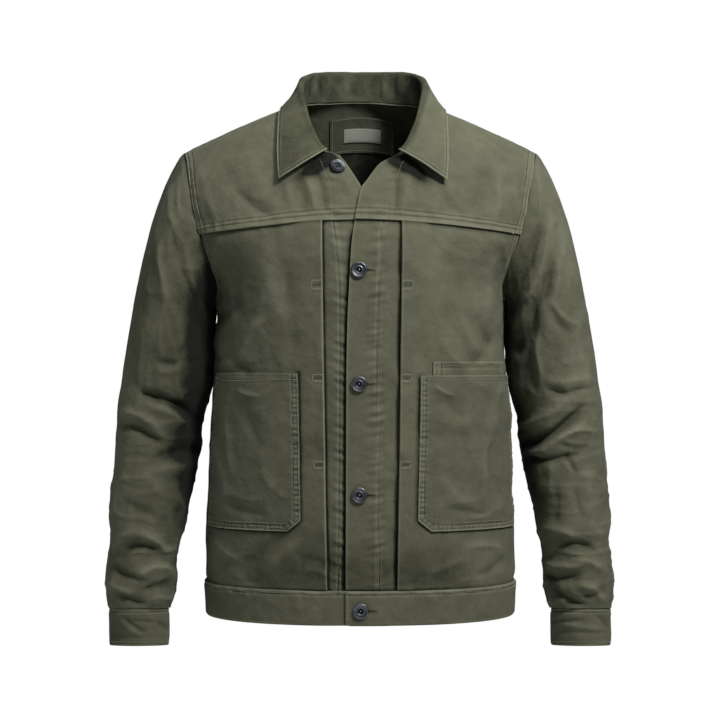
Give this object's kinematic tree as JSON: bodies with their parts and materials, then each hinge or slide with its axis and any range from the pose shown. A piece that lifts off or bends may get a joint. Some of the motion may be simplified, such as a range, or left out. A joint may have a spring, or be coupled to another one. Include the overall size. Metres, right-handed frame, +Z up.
{
  "type": "overshirt",
  "caption": "Button-front work overshirt in olive cotton twill, filled out as if worn: shirt collar, pressed front pleats, yokes, hip patch pockets, waistband and long cuffed sleeves.",
  "frame": {"origin": "between the shoulders, inside the neck opening, level with the front end of the shoulder line at the collar; the garment is held there", "axes": "+X to the wearer's left, -Y to the front, +Z up"},
  "size_m": [0.6655, 0.2648, 0.7519],
  "materials": {
    "twill": "matt cotton twill, olive green, edges a little lighter",
    "button_metal": "dark gunmetal, satin",
    "label_weave": "plain woven label, stone"
  },
  "bodies": {
    "root": {"back_panel": "twill", "collar": "twill", "cuff_left": "twill", "cuff_right": "twill", "front_left": "twill", "front_right": "twill", "neck_patch": "twill", "pocket_left": "twill", "pocket_right": "twill", "pocket_tool": "twill", "sleeve_under_left": "twill", "sleeve_under_right": "twill", "sleeve_upper_left": "twill", "sleeve_upper_right": "twill", "waistband_back": "twill", "waistband_left": "twill", "waistband_right": "twill", "yoke_back": "twill", "yoke_front_left": "twill", "yoke_front_right": "twill", "button_1": "button_metal", "button_2": "button_metal", "button_3": "button_metal", "button_4": "button_metal", "button_5": "button_metal", "button_cuff_left": "button_metal", "button_cuff_right": "button_metal", "neck_label": "label_weave"}
  },
  "joints": []
}
